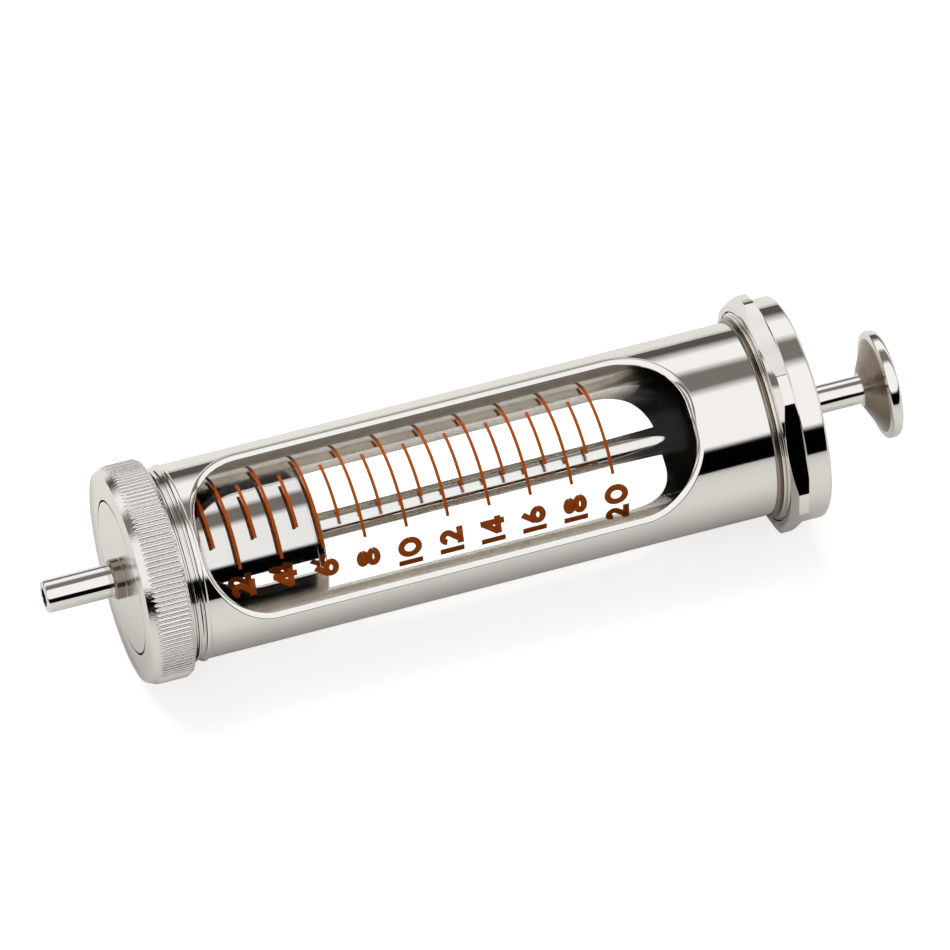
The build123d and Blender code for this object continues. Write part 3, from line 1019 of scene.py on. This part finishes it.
class SYRINGE_OT_glass(bpy.types.Operator):
    """Glass tube with its enamelled scale"""

    bl_idname = "syringe.glass"
    bl_label = "Glass and scale"

    def execute(self, context):
        sizes = context.scene.syringe_sizes
        finishes = context.scene.syringe_finishes
        glass = finish_named("drawn_glass", drawn_glass, finishes)
        enamel = finish_named("fired_enamel", fired_enamel, finishes)
        bore_r = GLASS_R - GLASS_WALL
        tube = turned("glass_barrel", glass, [
            (GLASS_FRONT, bore_r, 0.08 * MM),
            (GLASS_REAR, bore_r, 0.08 * MM),
            (GLASS_REAR, GLASS_R, GLASS_EDGE),
            (GLASS_FRONT, GLASS_R, GLASS_EDGE),
        ], columns=256)
        tube.visible_shadow = False
        dress(tube, "barrel", "clear_glass", "glass_tube")
        paint("scale_lines", enamel)
        top_r = GLASS_R + sizes.enamel
        thick = sizes.numeral_stroke / sizes.numeral_height
        for number in range(2, CAPACITY + 1, 2):
            parts, width = numeral_slab(str(number), sizes.numeral_height, sizes.numeral_stroke)
            line_x = ZERO_X + number * ML_LENGTH
            _, ones_width = numeral_strokes(str(number)[-1], thick)
            ones_width *= sizes.numeral_height
            first_angle = ONES_ANGLE + (width - ones_width / 2) / GLASS_R
            shell = Shell()
            for points, outline in parts:
                count = len(points)
                low, high = [], []
                for flat in outline:
                    angle = first_angle - flat.x / GLASS_R
                    x = line_x + sizes.numeral_height / 2 - flat.y
                    low.append(about_axis(x, GLASS_R, angle))
                    high.append(about_axis(x, top_r, angle))
                radial = [Vector((0, p.y, p.z)).normalized() for p in high]
                top = [shell.point(p, n) for p, n in zip(high, radial)]
                bottom = [shell.point(p, -n) for p, n in zip(low, radial)]
                for i in range(count - 1):
                    j = 2 * count - 1 - i
                    shell.face(top[i], top[j], top[j - 1], top[i + 1])
                    shell.face(bottom[i], bottom[i + 1], bottom[j - 1], bottom[j])
                for i in range(2 * count):
                    k = (i + 1) % (2 * count)
                    shell.face(top[i], top[k], bottom[k], bottom[i])
            mark = shell.piece(f"numeral_{number:02d}", enamel)
            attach(mark, "barrel")
        return {"FINISHED"}


# Rear end

FLANGE_FACE_INSET = 0.15 * MM
FLANGE_BEVEL = 0.8 * MM
FLANGE_GROOVE = (0.5 * MM, 0.2 * MM)
FLANGE_SOFT_EDGE = 0.03 * MM
FLAT_END_BLEND = math.radians(0.35)
FLAT_STEPS = 20
CORNER_STEPS = 8
CAP_DISC_FRONT = CAP_REAR - 3.9 * MM
CAP_FRONT_BEVEL = 0.2 * MM
CAP_REAR_BEVEL = 0.4 * MM
CAP_SPIGOT_WALL = 1.7 * MM
CAP_BOSS_R = 7.5 * MM
CAP_BOSS_LENGTH = 3.0 * MM
BUSH_R = 4.53 * MM
PACKING_DEPTH = 1.4 * MM
ROD_HOLE_R = 2.45 * MM
SPIGOT_CLEARANCE = 0.08 * MM


class SYRINGE_OT_rear_end(bpy.types.Operator):
    """Ridged collar, hexagonal finger flange and round end cap"""

    bl_idname = "syringe.rear_end"
    bl_label = "Rear end"

    def execute(self, context):
        sizes = context.scene.syringe_sizes
        finishes = context.scene.syringe_finishes
        bright = finish_named("polished_nickel", polished_nickel, finishes)
        sleeve_r = BEAD_R - sizes.bead_height
        shown = FLANGE_FRONT - COLLAR_FRONT
        step = COLLAR_R - sleeve_r
        ridge = shown / 2
        seat = sleeve_r + SEAT_GAP
        low_crest, high_crest = sleeve_r + step / 3, sleeve_r + step * 2 / 3
        foot = ridge / 3
        collar = turned("ridged_collar", bright, [
            (COLLAR_FRONT, seat, 0.01 * MM),
            (COLLAR_REAR, seat),
            (COLLAR_REAR, COLLAR_R),
            (FLANGE_FRONT, COLLAR_R, 0.1 * MM),
            (FLANGE_FRONT, high_crest - foot, 0.06 * MM),
            (FLANGE_FRONT - foot, high_crest, 0.3 * MM),
            (FLANGE_FRONT - ridge + foot, high_crest, 0.3 * MM),
            (FLANGE_FRONT - ridge, low_crest - foot, 0.06 * MM),
            (FLANGE_FRONT - ridge - foot, low_crest, 0.3 * MM),
            (COLLAR_FRONT + foot, low_crest, 0.3 * MM),
            (COLLAR_FRONT, low_crest - foot, 0.02 * MM),
        ], columns=224)
        # Painted shade: the collar's bore, front face and lower ridge get the dark dull finish.
        dull(collar, lambda centre, radius: radius < high_crest - foot / 2
             and centre.x < FLANGE_FRONT - SEAT_GAP)
        dress(collar, "barrel", "bright_nickel", "rear_collar")
        self.flange(bright)
        spigot_r = sleeve_r - SLEEVE_WALL - SPIGOT_CLEARANCE
        boss_x = CAP_DISC_FRONT - CAP_BOSS_LENGTH
        cap = turned("round_end_cap", bright, [
            (CAP_FRONT, spigot_r),
            (CAP_DISC_FRONT, spigot_r),
            (CAP_DISC_FRONT, CAP_R - CAP_FRONT_BEVEL),
            (CAP_DISC_FRONT + CAP_FRONT_BEVEL, CAP_R, 0.12 * MM),
            (CAP_REAR - CAP_REAR_BEVEL, CAP_R, 0.25 * MM),
            (CAP_REAR, CAP_R - CAP_REAR_BEVEL, 0.25 * MM),
            (CAP_REAR, ROD_HOLE_R, 0.2 * MM),
            (CAP_DISC_FRONT + PACKING_DEPTH, ROD_HOLE_R),
            (CAP_DISC_FRONT + PACKING_DEPTH, BUSH_R),
            (boss_x, BUSH_R),
            (boss_x, CAP_BOSS_R),
            (CAP_DISC_FRONT, CAP_BOSS_R),
            (CAP_DISC_FRONT, spigot_r - CAP_SPIGOT_WALL),
            (CAP_FRONT, spigot_r - CAP_SPIGOT_WALL),
        ], columns=256)
        dress(cap, "end_cap", "bright_nickel", "end_cap")
        return {"FINISHED"}

    def flange(self, material):
        """Hexagon with turned corners and bevelled faces."""
        apothem = FLANGE_FLAT_R
        face_r = apothem - FLANGE_FACE_INSET
        flat_half = math.acos(apothem / FLANGE_CORNER_R)
        blend = FLAT_END_BLEND
        columns = []
        for side in range(6):
            middle = math.radians(60 * side + 90)
            for n in range(FLAT_STEPS + 1):
                lean = (flat_half - blend) * (2 * n / FLAT_STEPS - 1)
                columns.append((middle + lean, apothem / math.cos(lean), middle))
            for n in range(CORNER_STEPS + 1):
                corner = (math.pi / 3 - 2 * flat_half - 2 * blend) * (n / CORNER_STEPS)
                angle = middle + flat_half + blend + corner
                columns.append((angle, FLANGE_CORNER_R, angle))
        slope = FLANGE_BEVEL / (FLANGE_CORNER_R - face_r)
        rear_face_r = (FLANGE_CORNER_R + face_r) / 2
        rear_slope = FLANGE_BEVEL / 2 / (FLANGE_CORNER_R - rear_face_r)
        groove_r = COLLAR_R + FLANGE_GROOVE[1]
        seat = COLLAR_R + SEAT_GAP
        lean = math.atan(slope)
        front_cone = (-math.cos(lean), math.sin(lean))
        rear_lean = math.atan(rear_slope)
        rear_cone = (math.cos(rear_lean), math.sin(rear_lean))
        soft = FLANGE_SOFT_EDGE
        shell = Shell()
        table = []
        for angle, radius, way in columns:
            front_x = FLANGE_FRONT + slope * max(radius - face_r, 0)
            rear_x = FLANGE_REAR - rear_slope * max(radius - rear_face_r, 0)
            rear_edge_r = min(rear_face_r, radius)
            outward = about_axis(0, 1, way)
            cone = about_axis(front_cone[0], front_cone[1], angle)
            back_cone = about_axis(rear_cone[0], rear_cone[1], angle)
            forward, backward = Vector((-1, 0, 0)), Vector((1, 0, 0))
            inward = about_axis(0, -1, angle)
            floor_x = FLANGE_FRONT + FLANGE_GROOVE[0]
            table.append([
                (about_axis(FLANGE_REAR, seat, angle), backward),
                (about_axis(FLANGE_REAR, rear_edge_r - soft, angle), backward),
                (about_axis(rear_x + rear_slope * soft, radius - soft, angle), back_cone),
                (about_axis(rear_x - soft, radius, angle), outward),
                (about_axis(front_x + soft, radius, angle), outward),
                (about_axis(front_x - slope * soft, radius - soft, angle), cone),
                (about_axis(FLANGE_FRONT + slope * soft, face_r + soft, angle), cone),
                (about_axis(FLANGE_FRONT, face_r - soft, angle), forward),
                (about_axis(FLANGE_FRONT, groove_r + soft, angle), forward),
                (about_axis(FLANGE_FRONT + soft, groove_r, angle), inward),
                (about_axis(floor_x, groove_r, angle), inward),
                (about_axis(floor_x, seat, angle), forward),
            ])
        rows = [[shell.point(*column[i]) for column in table] for i in range(len(table[0]))]
        shell.sheet(rows, wrap_columns=True, wrap_rows=True)
        flange = shell.piece("hexagon_flange", material)
        dress(flange, "barrel", "bright_nickel", "finger_flange")


# Plunger

PISTON_EDGE = 0.3 * MM
PISTON_WALL = 1.5 * MM
PISTON_FRONT_WALL = 3.0 * MM
PISTON_CAP = 1.3 * MM
BOSS_R = 4.0 * MM
BOSS_LENGTH = 6.0 * MM
ROD_THREAD_R = 1.8 * MM
RUNNING = 0.05 * MM
TENON_R = 1.5 * MM
NECK_R = 2.7 * MM
RIM = 1.0 * MM


class SYRINGE_OT_plunger(bpy.types.Operator):
    """Piston, rod and thumb button"""

    bl_idname = "syringe.plunger"
    bl_label = "Plunger"

    def execute(self, context):
        finishes = context.scene.syringe_finishes
        bright = finish_named("polished_nickel", polished_nickel, finishes)
        ground = finish_named("lapped_nickel", lapped_nickel, finishes)
        boss_x = PISTON_FRONT + PISTON_FRONT_WALL
        boss_end = boss_x + BOSS_LENGTH
        hollow_r = PISTON_R - PISTON_WALL
        shell = turned("piston_body", ground, [
            (PISTON_FRONT, 0, 0),
            (PISTON_FRONT, PISTON_R - PISTON_EDGE),
            (PISTON_FRONT + PISTON_EDGE, PISTON_R),
            (PISTON_SEAT, PISTON_R),
            (PISTON_SEAT, hollow_r),
            (boss_x, hollow_r),
            (boss_x, BOSS_R),
            (boss_end, BOSS_R),
            (boss_end, ROD_THREAD_R + SEAT_GAP),
            (boss_x, ROD_THREAD_R + SEAT_GAP),
            (boss_x, 0, 0),
        ][::-1], closed=False, columns=256)
        dress(shell, "piston", "ground_nickel", "piston_shell")
        disc = turned("piston_rear_disc", ground, [
            (PISTON_SEAT, PISTON_R),
            (PISTON_REAR - PISTON_EDGE, PISTON_R),
            (PISTON_REAR, PISTON_R - PISTON_EDGE),
            (PISTON_REAR, ROD_R + RUNNING),
            (PISTON_SEAT - PISTON_CAP, ROD_R + RUNNING),
            (PISTON_SEAT - PISTON_CAP, hollow_r - SEAT_GAP),
            (PISTON_SEAT, hollow_r - SEAT_GAP),
        ], columns=256)
        dress(disc, "piston", "ground_nickel", "piston_cap")
        rod = turned("polished_rod", bright, [
            (ROD_FRONT, 0, 0),
            (ROD_FRONT, ROD_THREAD_R),
            (boss_end + RUNNING, ROD_THREAD_R),
            (boss_end + RUNNING, ROD_R),
            (BUTTON_FRONT, ROD_R),
            (BUTTON_FRONT, TENON_R),
            (ROD_REAR, TENON_R),
            (ROD_REAR, 0, 0),
        ][::-1], closed=False, columns=96)
        dress(rod, "plunger_rod", "bright_nickel", "piston_rod")
        button = turned("mushroom_button", bright, [
            (ROD_REAR + SEAT_GAP, 0, 0),
            (ROD_REAR + SEAT_GAP, TENON_R + SEAT_GAP),
            (BUTTON_FRONT, TENON_R + SEAT_GAP),
            (BUTTON_FRONT, NECK_R, 0.1 * MM),
            (BUTTON_REAR - 2 * RIM, BUTTON_R - RIM, 0.3 * MM),
            (BUTTON_REAR - 2 * RIM, BUTTON_R, 0.98 * RIM),
            (BUTTON_REAR, BUTTON_R, 0.98 * RIM),
            (BUTTON_REAR, 0, 0),
        ], closed=False, columns=192, arc_steps=12)
        # Painted shade: the underside of the button's head gets the dark dull finish.
        dull(button, lambda centre, radius: NECK_R < radius < BUTTON_R - 1.3 * RIM
             and centre.x < BUTTON_REAR - 1.5 * RIM)
        dress(button, "plunger_rod", "bright_nickel", "thumb_button")
        return {"FINISHED"}


class SYRINGE_OT_inner_pieces(bpy.types.Operator):
    """Finishes of the gaskets, the washer, the bush and the packing"""

    bl_idname = "syringe.inner_pieces"
    bl_label = "Inner pieces"

    def execute(self, context):
        fibre = finish_named("pressed_fibre", pressed_fibre)
        rubber = finish_named("matt_rubber", matt_rubber)
        brass = finish_named("turned_brass", turned_brass)
        paint("front_gasket", fibre)
        for node in ("rear_gasket", "rod_packing"):
            paint(node, rubber)
        for node in ("thrust_washer", "rod_bush"):
            paint(node, brass)
        return {"FINISHED"}


# Stage

FLOOR_Z = -FLANGE_FLAT_R
FLOOR_SIZE = 3.0
SENSOR = 36.0
PAPER = (0.65, 0.64, 0.62, 1)
GLOW_TO_CAMERA = 0.72
GLOW_THROUGH_GLASS = 1.0
LAMP_SIZE = (0.55, 0.4)
LAMP_PLACE = (-0.02, 0.22, 0.5)
LAMP_AIM = (0.06, 0, 0)

# Plain cards that polished metal sees above the floor: (first degree, last degree, brightness),
# counted from the back (+Y) over the top; the last one carries the paper on past the floor's edge
CARDS = (
    (0, 15, 0.1),
    (30, 50, 1.0),
    (60, 80, 0.2),
    (90, 150, 1.0),
    (155, 180, 0.0),
    (185, 355, 0.8),
)
WARM = (1.0, 0.92, 0.83)


def behind_mirror(tree):
    """1 for a ray that has already been mirrored by metal or glass, otherwise 0."""
    light_path = tree.nodes.new("ShaderNodeLightPath")
    return maths(tree, "MINIMUM", light_path.outputs["Glossy Depth"], 1.0)


def bright_floor():
    """Pale paper that keeps its shadow: white to the camera and through glass, plain to metal."""
    material = bpy.data.materials.new("white_floor")
    material.use_nodes = True
    tree = material.node_tree
    tree.nodes.clear()
    output = tree.nodes.new("ShaderNodeOutputMaterial")
    paper = tree.nodes.new("ShaderNodeBsdfDiffuse")
    paper.inputs["Color"].default_value = PAPER
    glow = tree.nodes.new("ShaderNodeEmission")
    light_path = tree.nodes.new("ShaderNodeLightPath")
    seen = maths(tree, "MULTIPLY", light_path.outputs["Is Camera Ray"], GLOW_TO_CAMERA)
    through = maths(
        tree, "MULTIPLY", light_path.outputs["Is Transmission Ray"], GLOW_THROUGH_GLASS)
    tree.links.new(maths(tree, "ADD", seen, through), glow.inputs["Strength"])
    both = tree.nodes.new("ShaderNodeAddShader")
    tree.links.new(paper.outputs[0], both.inputs[0])
    tree.links.new(glow.outputs[0], both.inputs[1])
    tree.links.new(both.outputs[0], output.inputs["Surface"])
    return material


def studio_world(stage):
    """Even fill for matt surfaces, white for the camera and glass, plain cards for mirrored rays."""
    world = bpy.data.worlds.new("studio")
    bpy.context.scene.world = world
    world.use_nodes = True
    tree = world.node_tree
    tree.nodes.clear()
    output = tree.nodes.new("ShaderNodeOutputWorld")
    where = tree.nodes.new("ShaderNodeTexCoord")
    parts = tree.nodes.new("ShaderNodeSeparateXYZ")
    tree.links.new(where.outputs["Generated"], parts.inputs[0])
    angle = maths(tree, "ARCTAN2", parts.outputs["Z"], parts.outputs["Y"])
    share = maths(tree, "FRACT", maths(tree, "ADD", maths(tree, "DIVIDE", angle, 2 * math.pi), 1.0))
    ramp = tree.nodes.new("ShaderNodeValToRGB")
    tree.links.new(share, ramp.inputs["Fac"])
    stops = ramp.color_ramp.elements
    while len(stops) < 2 * len(CARDS):
        stops.new(1.0)
    for n, (first, last, brightness) in enumerate(CARDS):
        tint = WARM if brightness < 1 else (1, 1, 1)
        for stop, degrees in ((stops[2 * n], first), (stops[2 * n + 1], last)):
            stop.position = degrees / 360
            stop.color = (*(brightness * part for part in tint), 1)
    cards = tree.nodes.new("ShaderNodeBackground")
    tree.links.new(ramp.outputs["Color"], cards.inputs["Color"])
    even = tree.nodes.new("ShaderNodeBackground")
    even.inputs["Color"].default_value = (1, 1, 1, 1)
    light_path = tree.nodes.new("ShaderNodeLightPath")
    direct = maths(tree, "MAXIMUM", light_path.outputs["Is Camera Ray"],
                   light_path.outputs["Is Transmission Ray"])
    other = maths(tree, "SUBTRACT", 1.0, direct)
    tree.links.new(maths(tree, "ADD", direct, maths(tree, "MULTIPLY", other, stage.fill)),
                   even.inputs["Strength"])
    mix = tree.nodes.new("ShaderNodeMixShader")
    tree.links.new(behind_mirror(tree), mix.inputs["Fac"])
    tree.links.new(even.outputs[0], mix.inputs[1])
    tree.links.new(cards.outputs[0], mix.inputs[2])
    tree.links.new(mix.outputs[0], output.inputs["Surface"])


class SYRINGE_OT_stage(bpy.types.Operator):
    """Camera, floor, soft lamp and the light round the syringe"""

    bl_idname = "syringe.stage"
    bl_label = "Stage"

    def execute(self, context):
        stage = context.scene.syringe_stage
        context.scene.view_settings.view_transform = "Standard"
        self.camera(context, stage)
        mesh = bpy.data.meshes.new("floor")
        half = FLOOR_SIZE / 2
        mesh.from_pydata([(-half, -half, FLOOR_Z), (half, -half, FLOOR_Z), (half, half, FLOOR_Z),
                          (-half, half, FLOOR_Z)], [], [(0, 1, 2, 3)])
        mesh.materials.append(bright_floor())
        floor = bpy.data.objects.new("floor", mesh)
        context.scene.collection.objects.link(floor)
        data = bpy.data.lights.new("soft_lamp", "AREA")
        data.shape = "RECTANGLE"
        data.size, data.size_y = LAMP_SIZE
        data.energy = stage.lamp
        lamp = bpy.data.objects.new("soft_lamp", data)
        lamp.location = LAMP_PLACE
        lamp.rotation_mode = "QUATERNION"
        aim = Vector(LAMP_AIM) - lamp.location
        lamp.rotation_quaternion = aim.to_track_quat("-Z", "Y")
        lamp.visible_glossy = False
        lamp.visible_transmission = False
        context.scene.collection.objects.link(lamp)
        studio_world(stage)
        return {"FINISHED"}

    def camera(self, context, stage):
        """Camera at the photograph's angle."""
        data = bpy.data.cameras.new("camera")
        data.sensor_width = SENSOR
        data.lens = SENSOR * stage.distance / stage.field
        data.clip_start, data.clip_end = 0.1, 20.0
        camera = bpy.data.objects.new("camera", data)
        context.scene.collection.objects.link(camera)
        back = Vector((
            math.sin(stage.azimuth) * math.cos(stage.elevation),
            -math.cos(stage.azimuth) * math.cos(stage.elevation),
            math.sin(stage.elevation),
        ))
        camera.location = Vector(stage.target) + back * stage.distance
        camera.rotation_mode = "QUATERNION"
        camera.rotation_quaternion = (-back).to_track_quat("-Z", "Y")
        context.scene.camera = camera


class SYRINGE_PT_panel(bpy.types.Panel):
    """Settings and steps of the syringe"""

    bl_idname = "SYRINGE_PT_panel"
    bl_label = "Syringe"
    bl_space_type = "VIEW_3D"
    bl_region_type = "UI"
    bl_category = "Syringe"

    def draw(self, context):
        for settings in (context.scene.syringe_sizes, context.scene.syringe_finishes,
                         context.scene.syringe_stage):
            box = self.layout.box()
            for name in settings.__annotations__:
                box.prop(settings, name)
        for operator in OPERATORS:
            self.layout.operator(operator.bl_idname)


SETTINGS = (SYRINGE_PG_sizes, SYRINGE_PG_finishes, SYRINGE_PG_stage)
OPERATORS = (
    SYRINGE_OT_stage,
    SYRINGE_OT_nozzle,
    SYRINGE_OT_front_nut,
    SYRINGE_OT_sleeve,
    SYRINGE_OT_glass,
    SYRINGE_OT_rear_end,
    SYRINGE_OT_plunger,
    SYRINGE_OT_inner_pieces,
)
CLASSES = (*SETTINGS, *OPERATORS, SYRINGE_PT_panel)


def register():
    """Adds the classes and settings."""
    for one in CLASSES:
        bpy.utils.register_class(one)
    bpy.types.Scene.syringe_sizes = PointerProperty(type=SYRINGE_PG_sizes)
    bpy.types.Scene.syringe_finishes = PointerProperty(type=SYRINGE_PG_finishes)
    bpy.types.Scene.syringe_stage = PointerProperty(type=SYRINGE_PG_stage)


def unregister():
    """Takes the settings and classes away again."""
    del bpy.types.Scene.syringe_stage
    del bpy.types.Scene.syringe_finishes
    del bpy.types.Scene.syringe_sizes
    for one in reversed(CLASSES):
        bpy.utils.unregister_class(one)


def main():
    """Builds everything in order."""
    register()
    bpy.ops.syringe.stage()
    bpy.ops.syringe.nozzle()
    bpy.ops.syringe.front_nut()
    bpy.ops.syringe.sleeve()
    bpy.ops.syringe.glass()
    bpy.ops.syringe.rear_end()
    bpy.ops.syringe.plunger()
    bpy.ops.syringe.inner_pieces()


if __name__ == "__main__":
    main()
